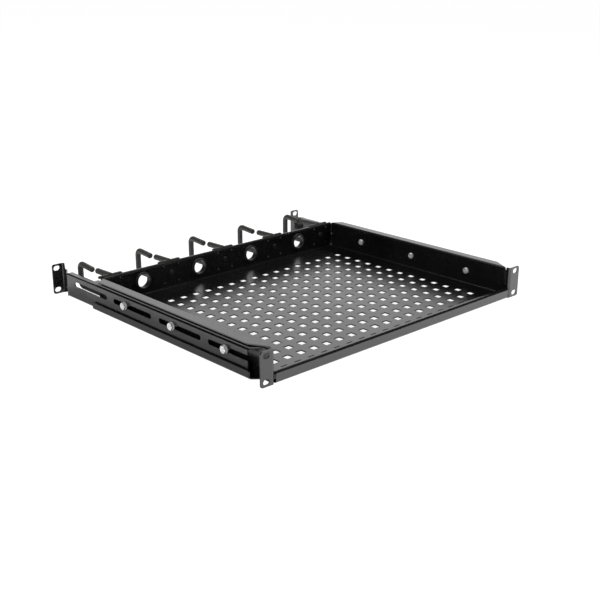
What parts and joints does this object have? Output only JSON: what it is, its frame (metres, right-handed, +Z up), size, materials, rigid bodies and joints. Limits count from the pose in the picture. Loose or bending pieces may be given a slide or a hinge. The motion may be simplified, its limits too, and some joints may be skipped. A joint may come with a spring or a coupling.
{
  "type": "four-post vented rack shelf",
  "caption": "Vented rack shelf: a perforated folded tray between channel rails that slide to fit the rack depth, with cable holes and open cable rings along its rear wall.",
  "frame": {"origin": "middle of the front mounting plane, which is the back face of the two front ears", "axes": "+X to the shelf's right seen from the front, +Y to the rear of the rack, +Z up"},
  "size_m": [0.4826, 0.4532, 0.0473],
  "materials": {
    "tray_paint": "satin black powder coat",
    "rail_paint": "satin black powder coat",
    "zinc": "bright zinc plate",
    "black_screw": "black oxide",
    "ring_plastic": "matte moulded",
    "grommet_rubber": "matte"
  },
  "bodies": {
    "shelf": {"tray": "tray_paint", "left_front_rail": "rail_paint", "right_front_rail": "rail_paint", "left_rail_bolt_1": "zinc", "left_rail_washer_1": "zinc", "left_rail_nut_1": "zinc", "left_rail_bolt_2": "zinc", "left_rail_washer_2": "zinc", "left_rail_nut_2": "zinc", "left_rail_bolt_3": "zinc", "left_rail_washer_3": "zinc", "left_rail_nut_3": "zinc", "right_rail_bolt_1": "zinc", "right_rail_washer_1": "zinc", "right_rail_nut_1": "zinc", "right_rail_bolt_2": "zinc", "right_rail_washer_2": "zinc", "right_rail_nut_2": "zinc", "right_rail_bolt_3": "zinc", "right_rail_washer_3": "zinc", "right_rail_nut_3": "zinc", "cable_ring_1": "ring_plastic", "ring_screw_1": "black_screw", "ring_nut_1": "zinc", "cable_ring_2": "ring_plastic", "ring_screw_2": "black_screw", "ring_nut_2": "zinc", "cable_ring_3": "ring_plastic", "ring_screw_3": "black_screw", "ring_nut_3": "zinc", "cable_ring_4": "ring_plastic", "ring_screw_4": "black_screw", "ring_nut_4": "zinc", "cable_ring_5": "ring_plastic", "ring_screw_5": "black_screw", "ring_nut_5": "zinc", "cable_grommet_1": "grommet_rubber", "cable_grommet_2": "grommet_rubber", "cable_grommet_3": "grommet_rubber", "cable_grommet_4": "grommet_rubber"},
    "left_rear_rail": {"left_rear_rail": "rail_paint"},
    "right_rear_rail": {"right_rear_rail": "rail_paint"}
  },
  "joints": [
    {"name": "left_rail_slide", "type": "slide", "parent": "shelf", "child": "left_rear_rail", "axis": [0, 1, 0], "range_m": [-0.024, 0.053]},
    {"name": "right_rail_slide", "type": "slide", "parent": "shelf", "child": "right_rear_rail", "axis": [0, 1, 0], "range_m": [-0.024, 0.053]}
  ]
}
